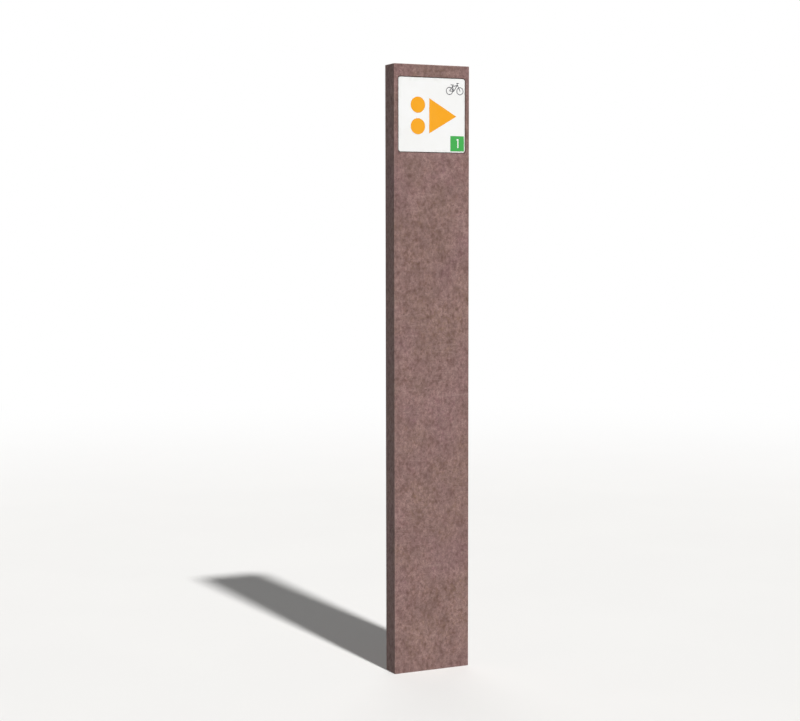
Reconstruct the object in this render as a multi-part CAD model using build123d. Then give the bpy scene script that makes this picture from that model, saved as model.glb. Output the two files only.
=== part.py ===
from build123d import *
from math import cos, pi, radians, sin, tan
import os

# Trail marker: a solid board post with a square sign plate bonded into a routed pocket near its top.
# Millimetres, +Z up. The origin is the centre of the foot, and the sign faces -Y.

# Sign plate, a rigid white sheet
plate_side = 120.0
plate_thickness = 3.0
plate_corner_radius = 4.0
plate_edge_chamfer = 0.2

# Pocket that the plate lies in, and the strips of board left beside and above it
plate_gap = 1.0
plate_setback = 0.3
pocket_rim_chamfer = 0.3
side_strip = 7.0
top_strip = 20.0

# Post board, cut to length from a moulded board
post_thickness = 35.0
post_height = 1000.0
long_edge_radius = 1.0
sawn_edge_chamfer = 0.5

# Bond between the plate and the pocket's floor
bond_thickness = 1.0
tape_width = 12.0
tape_side_inset = 5.0
tape_end_inset = 8.0
bead_width = 9.0
bead_end_inset = 16.0
bead_edge_chamfer = 0.35
bead_names = ("left", "middle", "right")

# Orange films on the plate's face, two discs and then an arrow, from left to right
film_thickness = 0.1
marks_right_shift = 3.05
marks_drop = 1.3
disc_diameter = 26.0
disc_gap = 8.7
arrow_gap = 7.4
arrow_width = 57.0
arrow_length = 49.3

# Green film in the plate's lower right corner, and the figure cut out of it
tile_side = 25.0
tile_corner_radius = 0.8
tile_side_rim = 1.5
tile_bottom_rim = 2.0
digit_height = 14.8
digit_stem = 2.0
digit_flag_reach = 1.7
digit_flag_drop = 1.1
digit_flag_end = 1.7
digit_flag_root = 2.1
digit_right_shift = 0.5
digit_rise = 0.5

# Threaded inserts in the foot, one for each ground rod
insert_edge_distance = 28.0
insert_length = 25.0
insert_wall = 2.75
insert_setback = 0.5
insert_clearance = 0.05
insert_lead_chamfer = 1.0
flange_overhang = 2.0
flange_thickness = 1.5
thread_core_diameter = 8.5
thread_mouth_chamfer = 0.8
knurl_count = 24
knurl_depth = 0.5
waist_depth = 0.2
waist_length = 6.5
rod_overrun = 15.0
drill_point_angle = 118.0

# Sizes and places that follow from the ones above
pocket_side = plate_side + 2 * plate_gap
pocket_corner_radius = plate_corner_radius + plate_gap
post_width = pocket_side + 2 * side_strip
front_y = -post_thickness / 2
plate_face_y = front_y + plate_setback
plate_back_y = plate_face_y + plate_thickness
pocket_floor_y = plate_back_y + bond_thickness
plate_centre_z = post_height - top_strip - pocket_side / 2
insert_x = post_width / 2 - insert_edge_distance
insert_diameter = thread_core_diameter + 2 * insert_wall
flange_diameter = insert_diameter + 2 * flange_overhang
insert_shoulder_z = insert_setback + flange_thickness
insert_top_z = insert_setback + insert_length
lead_start_z = insert_top_z - insert_lead_chamfer
knurl_length = (lead_start_z - insert_shoulder_z - waist_length) / 2


def facing_front(back_y):
    """Plane whose x runs to the right, y up and normal to the front, centred on the plate."""
    return Plane(origin=(0, back_y, plate_centre_z), x_dir=(1, 0, 0), z_dir=(0, -1, 0))


def sheet(outline, back_y, thickness):
    """Flat sheet with this outline, its back at back_y."""
    return extrude(facing_front(back_y) * outline, amount=thickness)


def film(outline):
    """Cut film on the plate's face."""
    return sheet(outline, plate_face_y, film_thickness)


def pocket():
    """Space routed out of the front, with round corners, down to the floor that the plate is bonded to."""
    outline = RectangleRounded(pocket_side, pocket_side, pocket_corner_radius)
    return sheet(outline, pocket_floor_y, pocket_floor_y - front_y)


def foot_hole():
    """Stepped blind hole with a drill point, open at the foot, that an insert is pressed into."""
    bore_radius = insert_diameter / 2 + insert_clearance
    seat_radius = flange_diameter / 2 + insert_clearance
    bore_end = insert_top_z + rod_overrun
    point_height = bore_radius / tan(radians(drill_point_angle / 2))
    profile = Polyline(
        (0, 0),
        (seat_radius, 0),
        (seat_radius, insert_shoulder_z),
        (bore_radius, insert_shoulder_z),
        (bore_radius, bore_end),
        (0, bore_end + point_height),
        close=True,
    )
    return revolve(Plane.XZ * make_face(profile), axis=Axis.Z)


def post_board():
    """Solid board with rounded long edges, sawn ends, the plate's pocket and the insert holes."""
    board = extrude(RectangleRounded(post_width, post_thickness, long_edge_radius), amount=post_height)
    sawn_ends = board.faces().filter_by(Axis.Z)
    board = chamfer(sawn_ends.edges(), sawn_edge_chamfer) - pocket()
    front = board.faces().sort_by(Axis.Y).first
    board = chamfer(front.inner_wires().first.edges(), pocket_rim_chamfer)
    for side in (-1, 1):
        board -= Pos(side * insert_x, 0, 0) * foot_hole()
    return board


def sign_plate():
    """Square plate with rounded corners and a lightly broken edge round its face."""
    outline = RectangleRounded(plate_side, plate_side, plate_corner_radius)
    plate = sheet(outline, plate_back_y, plate_thickness)
    face = plate.faces().sort_by(Axis.Y).first
    return chamfer(face.edges(), plate_edge_chamfer)


def foam_tape(side):
    """Upright strip of foam tape behind the plate, near its left or right edge."""
    centre_x = side * (plate_side / 2 - tape_side_inset - tape_width / 2)
    outline = Rectangle(tape_width, plate_side - 2 * tape_end_inset)
    return sheet(Pos(centre_x, 0) * outline, pocket_floor_y, bond_thickness)


def adhesive_bead(place):
    """Squeezed upright bead with round ends and full sides, one of a row spaced evenly between the tapes."""
    room = plate_side - 2 * (tape_side_inset + tape_width)
    centre_x = room * ((place + 1) / (len(bead_names) + 1) - 1 / 2)
    outline = Rot(0, 0, 90) * SlotOverall(plate_side - 2 * bead_end_inset, bead_width)
    bead = sheet(Pos(centre_x, 0) * outline, pocket_floor_y, bond_thickness)
    return chamfer(bead.faces().filter_by(Axis.Y).edges(), bead_edge_chamfer)


def marks_left_x():
    """Left end of the row of discs and arrow, from the plate's middle."""
    row_length = disc_diameter + arrow_gap + arrow_length
    return marks_right_shift - row_length / 2


def disc(level):
    """Round film, above or below the middle of the row."""
    centre_x = marks_left_x() + disc_diameter / 2
    centre_z = level * (disc_diameter + disc_gap) / 2 - marks_drop
    return film(Pos(centre_x, centre_z) * Circle(disc_diameter / 2))


def arrow():
    """Three-sided film that points to the right."""
    base_x = marks_left_x() + disc_diameter + arrow_gap
    outline = Polyline(
        (base_x, arrow_width / 2),
        (base_x, -arrow_width / 2),
        (base_x + arrow_length, 0),
        close=True,
    )
    return film(Pos(0, -marks_drop) * make_face(outline))


def digit():
    """Outline of the figure one, with a slanted flag to the left of its stem."""
    top = digit_rise + digit_height / 2
    bottom = digit_rise - digit_height / 2
    right = digit_right_shift + (digit_stem + digit_flag_reach) / 2
    stem_left = right - digit_stem
    flag_left = stem_left - digit_flag_reach
    flag_top = top - digit_flag_drop
    outline = Polyline(
        (right, top),
        (right, bottom),
        (stem_left, bottom),
        (stem_left, top - digit_flag_root),
        (flag_left, flag_top - digit_flag_end),
        (flag_left, flag_top),
        (stem_left, top),
        close=True,
    )
    return make_face(outline)


def number_tile():
    """Square film in the plate's lower right corner, with the figure cut out of it."""
    centre_x = plate_side / 2 - tile_side_rim - tile_side / 2
    centre_z = -plate_side / 2 + tile_bottom_rim + tile_side / 2
    outline = RectangleRounded(tile_side, tile_side, tile_corner_radius) - digit()
    return film(Pos(centre_x, centre_z) * outline)


def insert_body():
    """Turned body of an insert: flange, barrel under the knurls, lead-in and thread core."""
    core = thread_core_diameter / 2
    mouth = core + thread_mouth_chamfer
    flange = flange_diameter / 2
    lead = insert_diameter / 2 - knurl_depth
    barrel = lead - waist_depth
    profile = Polyline(
        (mouth, insert_setback),
        (flange, insert_setback),
        (flange, insert_shoulder_z),
        (barrel, insert_shoulder_z),
        (barrel, lead_start_z),
        (lead, lead_start_z),
        (lead - insert_lead_chamfer, insert_top_z),
        (core, insert_top_z),
        (core, insert_setback + thread_mouth_chamfer),
        close=True,
    )
    return revolve(Plane.XZ * make_face(profile), axis=Axis.Z)


def polar_point(radius, angle):
    """Point at this radius and angle round an insert's axis."""
    return (radius * cos(angle), radius * sin(angle))


def knurl_band(start_z):
    """Ring of upright V-shaped teeth round an insert's barrel, from this height up."""
    crest = insert_diameter / 2
    valley = crest - knurl_depth
    outline = []
    for tooth in range(knurl_count):
        outline.append(polar_point(crest, 2 * pi * tooth / knurl_count))
        outline.append(polar_point(valley, 2 * pi * (tooth + 1 / 2) / knurl_count))
    ring = make_face(Polyline(*outline, close=True)) - Circle(thread_core_diameter / 2)
    return extrude(Pos(0, 0, start_z) * ring, amount=knurl_length)


def threaded_insert(side):
    """Knurled insert pressed into the foot, left or right of the middle."""
    lower_band = knurl_band(insert_shoulder_z)
    upper_band = knurl_band(lead_start_z - knurl_length)
    return Pos(side * insert_x, 0, 0) * (insert_body() + lower_band + upper_band)


def all_parts():
    """Every piece of the marker, by the name of its node."""
    parts = {
        "post_board": post_board(),
        "sign_plate": sign_plate(),
        "foam_tape_left": foam_tape(-1),
        "foam_tape_right": foam_tape(1),
        "disc_upper": disc(1),
        "disc_lower": disc(-1),
        "arrow": arrow(),
        "number_tile": number_tile(),
        "threaded_insert_left": threaded_insert(-1),
        "threaded_insert_right": threaded_insert(1),
    }
    for place, name in enumerate(bead_names):
        parts[f"adhesive_bead_{name}"] = adhesive_bead(place)
    return parts


os.makedirs("parts", exist_ok=True)
for node, shape in all_parts().items():
    export_step(shape, f"parts/{node}.step")
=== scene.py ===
"""Finishes and small pieces of a trail marker, laid over its solid model.

Everything is in metres in the model's own frame: +Z up, the foot on z = 0 and the sign facing -Y.
"""

import logging
import math
from abc import ABC, abstractmethod
from dataclasses import dataclass
from enum import Enum
from typing import ClassVar, Sequence

import bmesh
import bpy
from mathutils import Matrix, Vector
from mathutils.geometry import delaunay_2d_cdt


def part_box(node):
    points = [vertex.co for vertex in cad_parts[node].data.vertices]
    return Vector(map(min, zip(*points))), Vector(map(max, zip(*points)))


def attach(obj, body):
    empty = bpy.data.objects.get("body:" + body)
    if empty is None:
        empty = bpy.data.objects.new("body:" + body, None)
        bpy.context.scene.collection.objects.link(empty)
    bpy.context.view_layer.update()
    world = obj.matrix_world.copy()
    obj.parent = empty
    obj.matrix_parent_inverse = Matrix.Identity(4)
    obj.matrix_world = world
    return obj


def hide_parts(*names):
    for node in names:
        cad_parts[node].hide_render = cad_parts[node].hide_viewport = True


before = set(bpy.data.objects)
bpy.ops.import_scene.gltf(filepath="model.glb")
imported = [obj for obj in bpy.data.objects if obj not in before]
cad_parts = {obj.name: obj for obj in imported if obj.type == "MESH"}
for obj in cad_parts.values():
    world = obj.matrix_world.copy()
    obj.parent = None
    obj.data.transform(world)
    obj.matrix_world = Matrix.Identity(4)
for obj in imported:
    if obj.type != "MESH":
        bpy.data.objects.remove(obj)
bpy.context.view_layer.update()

log = logging.getLogger("trail_marker")

BODY = "root"

Socket = bpy.types.NodeSocket
Given = Socket | float | Sequence[float]
Colour = tuple[float, float, float, float]
Point = tuple[float, float]


class Slot(Enum):
    """Material slots of the marker's record."""

    BOARD = "recycled_board"
    PLATE = "plate_white"
    ORANGE = "film_orange"
    GREEN = "film_green"
    TAPE = "tape_foam"
    ADHESIVE = "adhesive"
    BRASS = "insert_brass"


class Side(Enum):
    """Left or right of the marker's middle, for a reader who faces the sign."""

    LEFT = "left"
    RIGHT = "right"


class BeadPlace(Enum):
    """Places of the adhesive beads behind the plate."""

    LEFT = "left"
    MIDDLE = "middle"
    RIGHT = "right"


class Port(Enum):
    """Kinds of socket that an effect's node group has."""

    NUMBER = "NodeSocketFloat"
    VECTOR = "NodeSocketVector"


class Blend(Enum):
    """Ways to lay one colour over another."""

    OVER = "MIX"
    DARKEN = "MULTIPLY"


def card(red: float, green: float, blue: float) -> Colour:
    """Turn a colour card's values into the linear colour that a shader takes.

    Args:
        red: red from 0 to 255.
        green: green from 0 to 255.
        blue: blue from 0 to 255.

    Returns:
        Linear red, green and blue, with an alpha of 1.
    """
    linear = []
    for value in (red, green, blue):
        share = value / 255
        linear.append(share / 12.92 if share <= 0.04045 else ((share + 0.055) / 1.055) ** 2.4)
    return (*linear, 1.0)


def on_circle(centre: Point, radius: float, angle: float) -> Point:
    """Return the point at this angle and radius from a centre."""
    return (centre[0] + radius * math.cos(angle), centre[1] + radius * math.sin(angle))


@dataclass(frozen=True)
class Layer:
    """What a layer brings to a finish where its mask is 1.

    Its colour covers this share of what is below, its height in metres is negative where it is sunk, and its
    roughness is added to that of the finish.
    """

    colour: Colour | None = None
    share: float = 1.0
    height: float = 0.0
    roughness: float = 0.0
    way: Blend = Blend.OVER


class Wiring:
    """Adds nodes to one node tree, from left to right, and wires them."""

    spacing: ClassVar[float] = 190.0
    seed_step: ClassVar[tuple[float, float, float]] = (0.61, 0.47, 0.83)
    noise_middle: ClassVar[float] = 0.5
    wear_lump_size: ClassVar[float] = 2.5
    wear_lump_reach: ClassVar[float] = 3.0

    def __init__(self, tree: bpy.types.NodeTree) -> None:
        """Start with an empty tree."""
        self.tree = tree
        tree.nodes.clear()

    def feed(self, socket: Socket, value: Given) -> None:
        """Link a socket to another one, or give it a value of its own.

        Args:
            socket: the input to feed.
            value: what feeds it.
        """
        if isinstance(value, Socket):
            self.tree.links.new(value, socket)
        else:
            socket.default_value = value

    def add(
        self,
        kind: str,
        inputs: dict[str | int, Given] | None = None,
        **settings: object,
    ) -> bpy.types.Node:
        """Add one node.

        Args:
            kind: the node's type.
            inputs: what feeds its inputs, by their name or number.
            **settings: the node's own settings.

        Returns:
            The new node.
        """
        node = self.tree.nodes.new(kind)
        node.location.x = self.spacing * len(self.tree.nodes)
        for name, value in settings.items():
            setattr(node, name, value)
        for key, value in (inputs or {}).items():
            self.feed(node.inputs[key], value)
        return node

    def calc(self, operation: str, *values: Given) -> Socket:
        """Return the result of a math node on these values."""
        return self.add("ShaderNodeMath", dict(enumerate(values)), operation=operation).outputs[0]

    def calc_vector(self, operation: str, *values: Given, result: str = "Vector") -> Socket:
        """Return one result of a vector math node on these values."""
        return self.add("ShaderNodeVectorMath", dict(enumerate(values)), operation=operation).outputs[result]

    def parts(self, vector: Given) -> tuple[Socket, Socket, Socket]:
        """Return a vector's x, y and z."""
        return tuple(self.add("ShaderNodeSeparateXYZ", {0: vector}).outputs)

    def radius(self, place: Given) -> Socket:
        """Return how far a place is from the z axis."""
        flat = self.calc_vector("MULTIPLY", place, (1.0, 1.0, 0.0))
        return self.calc_vector("LENGTH", flat, result="Value")

    def ease(self, value: Given, start: Given, end: Given) -> Socket:
        """Return 0 where the value is at its start and 1 at its end, smoothly between and held beyond."""
        inputs = {"Value": value, "From Min": start, "From Max": end}
        return self.add("ShaderNodeMapRange", inputs, interpolation_type="SMOOTHSTEP").outputs["Result"]

    def between(self, share: Given, low: Given, high: Given) -> Socket:
        """Return the number that lies this share of the way from low to high."""
        inputs = {"Value": share, "To Min": low, "To Max": high}
        return self.add("ShaderNodeMapRange", inputs, clamp=False).outputs["Result"]

    def blend(self, share: Given, under: Given, over: Given, way: Blend = Blend.OVER) -> Socket:
        """Lay one colour over another.

        Args:
            share: how much of the upper colour there is, from 0 to 1.
            under: the lower colour.
            over: the upper colour.
            way: how the upper one is laid.

        Returns:
            The blended colour.
        """
        node = self.add("ShaderNodeMix", data_type="RGBA", blend_type=way.value)
        sockets = {socket.identifier: socket for socket in node.inputs}
        self.feed(sockets["Factor_Float"], share)
        self.feed(sockets["A_Color"], under)
        self.feed(sockets["B_Color"], over)
        return next(socket for socket in node.outputs if socket.identifier == "Result_Color")

    def elsewhere(self, place: Given, seed: Given) -> Socket:
        """Return a place far away for each seed, so that patterns with different seeds don't match."""
        far = self.add("ShaderNodeVectorMath", {0: self.seed_step, "Scale": seed}, operation="SCALE")
        return self.calc_vector("ADD", place, far.outputs["Vector"])

    def noise(self, place: Given, size: Given, seed: Given = 0.0, detail: float = 3.0) -> Socket:
        """Make a cloudy noise.

        Args:
            place: the place on the surface.
            size: about how large its lumps are.
            seed: picks one of many such noises.
            detail: how fine its finest lumps are.

        Returns:
            A number from about 0.25 to 0.75.
        """
        inputs = {"Vector": self.elsewhere(place, seed), "Detail": detail}
        inputs["Scale"] = self.calc("DIVIDE", 1.0, size)
        return self.add("ShaderNodeTexNoise", inputs, noise_dimensions="3D").outputs["Fac"]

    def lumpy(self, distance: Given, cloud: Given, reach: Given) -> Socket:
        """Return a distance that a noise lengthens and shortens by up to about a quarter of this reach."""
        lump = self.calc("MULTIPLY", self.calc("SUBTRACT", cloud, self.noise_middle), reach)
        return self.calc("ADD", distance, lump)

    def worn(self, distance: Given, place: Given, width: Given) -> Socket:
        """Ease off the distance to an edge, with a ragged border.

        Args:
            distance: how far the place is from the edge.
            place: the place on the surface.
            width: how far the wear reaches from the edge.

        Returns:
            A mask that is 1 on the edge.
        """
        cloud = self.noise(place, self.calc("MULTIPLY", width, self.wear_lump_size))
        reach = self.calc("MULTIPLY", width, self.wear_lump_reach)
        return self.ease(self.lumpy(distance, cloud, reach), width, 0.0)

    def waves(self, distance: Given, spacing: float) -> Socket:
        """Return waves from 0 to 1 that are this far apart."""
        phase = self.calc("MULTIPLY", distance, math.tau / spacing)
        return self.between(self.calc("SINE", phase), low=0.5, high=1.0)

    def located(self) -> Socket:
        """Return the place on the surface, in the frame of the object's origin."""
        return self.add("ShaderNodeTexCoord").outputs["Object"]

    def facing_up(self) -> Socket:
        """Return 1 where the surface faces up, 0 where it is upright and -1 where it faces down."""
        return self.parts(self.add("ShaderNodeNewGeometry").outputs["Normal"])[2]

    def looked_at(self) -> Socket:
        """Tell what the camera sees, also in a reflection or through glass, from light on the marker.

        Returns:
            1 for what the camera sees and 0 for light.
        """
        rays = self.add("ShaderNodeLightPath").outputs
        seen = self.calc("MAXIMUM", rays["Is Camera Ray"], rays["Is Glossy Ray"])
        return self.calc("MAXIMUM", seen, rays["Is Transmission Ray"])


class Surface(Wiring):
    """A material in the making, on which a finish lays its layers."""

    def __init__(self, name: str, body: Colour, roughness: float, gloss: float) -> None:
        """Start with one plain colour.

        Args:
            name: the material's name.
            body: its plain colour.
            roughness: its roughness from 0 to 1.
            gloss: how strongly it reflects, from 0 to 1.
        """
        self.material = bpy.data.materials.new(name)
        self.material.use_nodes = True
        super().__init__(self.material.node_tree)
        self.shader = self.add("ShaderNodeBsdfPrincipled", {"Specular IOR Level": gloss})
        self.add("ShaderNodeOutputMaterial", {"Surface": self.shader.outputs["BSDF"]})
        self.place = self.located()
        self.tone: Given = body
        self.roughness: Given = roughness
        self.height: Given = 0.0

    def lay(self, layer: Layer, mask: Socket) -> None:
        """Lay a layer over what is there.

        Args:
            layer: the layer.
            mask: where it lies, from 0 to 1.
        """
        if layer.colour is not None:
            share = self.calc("MULTIPLY", mask, layer.share)
            self.tone = self.blend(share, self.tone, layer.colour, layer.way)
        if layer.height:
            self.height = self.calc("MULTIPLY_ADD", mask, layer.height, self.height)
        if layer.roughness:
            self.roughness = self.calc("MULTIPLY_ADD", mask, layer.roughness, self.roughness)

    def finished(self) -> bpy.types.Material:
        """Feed the shader with all that was laid.

        Returns:
            The finished material.
        """
        bump = self.add("ShaderNodeBump", {"Strength": 1.0, "Distance": 1.0, "Height": self.height})
        self.feed(self.shader.inputs["Base Color"], self.tone)
        self.feed(self.shader.inputs["Roughness"], self.roughness)
        self.feed(self.shader.inputs["Normal"], bump.outputs["Normal"])
        return self.material


class Effect(ABC):
    """A surface effect that several finishes share, as a node group that is made once."""

    name: ClassVar[str]
    vectors: ClassVar[tuple[str, ...]] = ("Place",)
    numbers: ClassVar[dict[str, float]]
    gives: ClassVar[str] = "Mask"

    @classmethod
    def group(cls) -> bpy.types.NodeTree:
        """Make the effect's node group at its first use.

        Returns:
            The node group.
        """
        made = bpy.data.node_groups.get(cls.name)
        if made is None:
            made = bpy.data.node_groups.new(cls.name, "ShaderNodeTree")
            for title in cls.vectors:
                made.interface.new_socket(title, in_out="INPUT", socket_type=Port.VECTOR.value)
            for title, default in cls.numbers.items():
                socket = made.interface.new_socket(title, in_out="INPUT", socket_type=Port.NUMBER.value)
                socket.default_value = default
            made.interface.new_socket(cls.gives, in_out="OUTPUT", socket_type=Port.NUMBER.value)
            wiring = Wiring(made)
            given = {socket.name: socket for socket in wiring.add("NodeGroupInput").outputs}
            wiring.add("NodeGroupOutput", {cls.gives: cls.wire(wiring, given)})
        return made

    @classmethod
    def use(cls, surface: Surface, **values: Given) -> Socket:
        """Put the effect in a material.

        Args:
            surface: the material, whose place feeds the effect unless another one is given.
            **values: what feeds the effect's inputs, with an underscore for each space in a name.

        Returns:
            What the effect gives.
        """
        node = surface.add("ShaderNodeGroup", node_tree=cls.group())
        for title, value in {"Place": surface.place, **values}.items():
            surface.feed(node.inputs[title.replace("_", " ")], value)
        return node.outputs[cls.gives]

    @classmethod
    @abstractmethod
    def wire(cls, wiring: Wiring, given: dict[str, Socket]) -> Socket:
        """Wire the group's inside.

        Args:
            wiring: the group's wiring.
            given: what is fed to the group, by name.

        Returns:
            What the group gives.
        """


class Patches(Effect):
    """Soft patches, drawn out along the board where stretched."""

    name = "soft patches"
    numbers = {"Size": 0.005, "Stretch": 1.0, "Softness": 0.2, "Seed": 0.0}

    @classmethod
    def wire(cls, wiring: Wiring, given: dict[str, Socket]) -> Socket:
        """Stretch the place along z, and ease a noise about its middle.

        Args:
            wiring: the group's wiring.
            given: the place, and the patches' size, stretch, softness and seed.

        Returns:
            The mask of the patches.
        """
        along = wiring.calc("DIVIDE", 1.0, given["Stretch"])
        squeeze = wiring.add("ShaderNodeCombineXYZ", {0: 1.0, 1: 1.0, 2: along})
        place = wiring.calc_vector("MULTIPLY", given["Place"], squeeze.outputs[0])
        cloud = wiring.noise(place, given["Size"], given["Seed"])
        start = wiring.calc("SUBTRACT", wiring.noise_middle, given["Softness"])
        end = wiring.calc("ADD", wiring.noise_middle, given["Softness"])
        return wiring.ease(cloud, start, end)


class Specks(Effect):
    """Scattered spots with ragged outlines, each of its own size."""

    name = "scattered specks"
    numbers = {"Spacing": 0.01, "Radius": 0.002, "Chance": 0.5, "Seed": 0.0}

    ragged_share: ClassVar[float] = 2.0
    smallest_share: ClassVar[float] = 0.35
    soft_share: ClassVar[float] = 0.45

    @classmethod
    def wire(cls, wiring: Wiring, given: dict[str, Socket]) -> Socket:
        """Give some cells of a pattern a spot about their middle.

        Args:
            wiring: the group's wiring.
            given: the place, and the specks' spacing, largest radius, chance in each cell and seed.

        Returns:
            The mask of the specks.
        """
        spacing = given["Spacing"]
        inputs = {"Vector": wiring.elsewhere(given["Place"], given["Seed"])}
        inputs["Scale"] = wiring.calc("DIVIDE", 1.0, spacing)
        cells = wiring.add("ShaderNodeTexVoronoi", inputs, voronoi_dimensions="3D", normalize=False)
        luck, extent, _ = wiring.parts(cells.outputs["Color"])
        distance = wiring.calc("MULTIPLY", cells.outputs["Distance"], spacing)
        radius = wiring.calc("MULTIPLY", given["Radius"], wiring.between(extent, cls.smallest_share, 1.0))
        cloud = wiring.noise(given["Place"], given["Radius"], given["Seed"])
        distance = wiring.lumpy(distance, cloud, wiring.calc("MULTIPLY", radius, cls.ragged_share))
        spot = wiring.ease(distance, radius, wiring.calc("MULTIPLY", radius, 1 - cls.soft_share))
        return wiring.calc("MULTIPLY", spot, wiring.calc("LESS_THAN", luck, given["Chance"]))


class EdgeWear(Effect):
    """Ragged wear along the edges of a block whose outline, seen from the front, has round corners."""

    name = "edge wear"
    vectors = ("Place", "Centre", "Half Size")
    numbers = {"Corner Radius": 0.0, "Width": 0.001}

    @classmethod
    def wire(cls, wiring: Wiring, given: dict[str, Socket]) -> Socket:
        """Work out the distance to the nearest edge, and ease it off.

        Args:
            wiring: the group's wiring.
            given: the place, the block's centre and half size, its corners' radius and the wear's width.

        Returns:
            The mask of the wear.
        """
        radius = given["Corner Radius"]
        offset = wiring.calc_vector("SUBTRACT", given["Place"], given["Centre"])
        offset = wiring.calc_vector("SUBTRACT", wiring.calc_vector("ABSOLUTE", offset), given["Half Size"])
        x, y, z = wiring.parts(offset)
        across = wiring.calc("ADD", x, radius)
        along = wiring.calc("ADD", z, radius)
        past = {0: wiring.calc("MAXIMUM", across, 0.0), 1: 0.0, 2: wiring.calc("MAXIMUM", along, 0.0)}
        beyond = wiring.add("ShaderNodeCombineXYZ", past).outputs[0]
        length = wiring.calc_vector("LENGTH", beyond, result="Value")
        inside = wiring.calc("MINIMUM", wiring.calc("MAXIMUM", across, along), 0.0)
        to_outline = wiring.calc("SUBTRACT", wiring.calc("ADD", length, inside), radius)
        rim = wiring.calc("MAXIMUM", wiring.calc("ABSOLUTE", to_outline), wiring.calc("ABSOLUTE", y))
        corner = wiring.calc("MAXIMUM", wiring.calc("ABSOLUTE", x), wiring.calc("ABSOLUTE", z))
        return wiring.worn(wiring.calc("MINIMUM", rim, corner), given["Place"], given["Width"])


class SettledDust(Effect):
    """Dust that lies thinly on whatever faces up."""

    name = "settled dust"
    numbers = {"Size": 0.006}

    steepest: ClassVar[float] = 0.5
    level: ClassVar[float] = 0.95
    bare: ClassVar[float] = 0.3
    dusty: ClassVar[float] = 0.65

    @classmethod
    def wire(cls, wiring: Wiring, given: dict[str, Socket]) -> Socket:
        """Mask a noise by how far the surface faces up.

        Args:
            wiring: the group's wiring.
            given: the place and the size of the dust's clouds.

        Returns:
            The mask of the dust.
        """
        lies = wiring.ease(wiring.facing_up(), cls.steepest, cls.level)
        clouds = wiring.ease(wiring.noise(given["Place"], given["Size"]), cls.bare, cls.dusty)
        return wiring.calc("MULTIPLY", lies, clouds)


class Hairlines(Effect):
    """Fine scratches that run two ways across a smooth surface."""

    name = "hairline scratches"
    numbers = {"Spacing": 0.004}

    directions_deg: ClassVar[tuple[float, ...]] = (24.0, -53.0)
    slender: ClassVar[float] = 16.0
    line_share: ClassVar[float] = 0.012
    area_share: ClassVar[float] = 3.0
    area_seed: ClassVar[float] = 5.0
    untouched: ClassVar[float] = 0.48
    scratched: ClassVar[float] = 0.62

    @classmethod
    def wire(cls, wiring: Wiring, given: dict[str, Socket]) -> Socket:
        """Keep the thin middle line of noises that are drawn out along each direction.

        Args:
            wiring: the group's wiring.
            given: the place and the scratches' spacing.

        Returns:
            The mask of the scratches.
        """
        area = wiring.calc("MULTIPLY", given["Spacing"], cls.area_share)
        spread = wiring.noise(given["Place"], area, cls.area_seed)
        lines: Given = 0.0
        for seed, direction in enumerate(cls.directions_deg):
            turn = wiring.add("ShaderNodeMapping", {"Vector": given["Place"]})
            turn.inputs["Rotation"].default_value = (0.0, math.radians(direction), 0.0)
            turn.inputs["Scale"].default_value = (1.0 / cls.slender, 1.0, 1.0)
            drawn = wiring.noise(turn.outputs[0], given["Spacing"], float(seed), detail=1.0)
            off_line = wiring.calc("ABSOLUTE", wiring.calc("SUBTRACT", drawn, wiring.noise_middle))
            lines = wiring.calc("MAXIMUM", lines, wiring.ease(off_line, cls.line_share, 0.0))
        return wiring.calc("MULTIPLY", lines, wiring.ease(spread, cls.untouched, cls.scratched))


@dataclass(frozen=True)
class Block:
    """A box with round corners, by its lowest and highest corner."""

    low: Vector
    high: Vector
    corner_radius: float = 0.0

    @classmethod
    def of(cls, node: str, corner_radius: float = 0.0) -> "Block":
        """Return the box of a node of the solid model."""
        return cls(*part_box(node), corner_radius)

    @property
    def centre(self) -> Vector:
        """Middle of the box."""
        return (self.low + self.high) / 2

    @property
    def half(self) -> Vector:
        """Half the box's size each way."""
        return (self.high - self.low) / 2

    def wear(self, surface: Surface, width: float) -> Socket:
        """Return the mask of wear that reaches this far from the box's edges."""
        edges = {"Centre": self.centre, "Half_Size": self.half, "Corner_Radius": self.corner_radius}
        return EdgeWear.use(surface, Width=width, **edges)


@dataclass(frozen=True)
class Wedge:
    """An outline of three corners on the marker's front, as x and z, in clockwise order for its reader."""

    corners: tuple[Point, Point, Point]

    def wear(self, surface: Surface, width: float) -> Socket:
        """Work out the distance to the nearest side, and ease it off.

        Args:
            surface: the material.
            width: how far the wear reaches from a side.

        Returns:
            A mask that is 1 on the outline.
        """
        nearest = None
        for start, end in zip(self.corners, self.corners[1:] + self.corners[:1]):
            inward = Vector((end[1] - start[1], start[0] - end[0])).normalized()
            offset = surface.calc_vector("SUBTRACT", surface.place, (start[0], 0.0, start[1]))
            distance = surface.calc_vector("DOT_PRODUCT", offset, (inward.x, 0.0, inward.y), result="Value")
            nearest = distance if nearest is None else surface.calc("MINIMUM", nearest, distance)
        return surface.worn(nearest, surface.place, width)


@dataclass(frozen=True)
class Tint:
    """A colour that soft patches of one size bring to a surface."""

    colour: Colour
    share: float
    size: float
    softness: float
    seed: float

    def lay(self, surface: Surface, stretch: float) -> None:
        """Lay the patches on a surface, this much longer than wide."""
        pattern = {"Size": self.size, "Stretch": stretch, "Softness": self.softness, "Seed": self.seed}
        surface.lay(Layer(self.colour, self.share), Patches.use(surface, **pattern))


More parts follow.
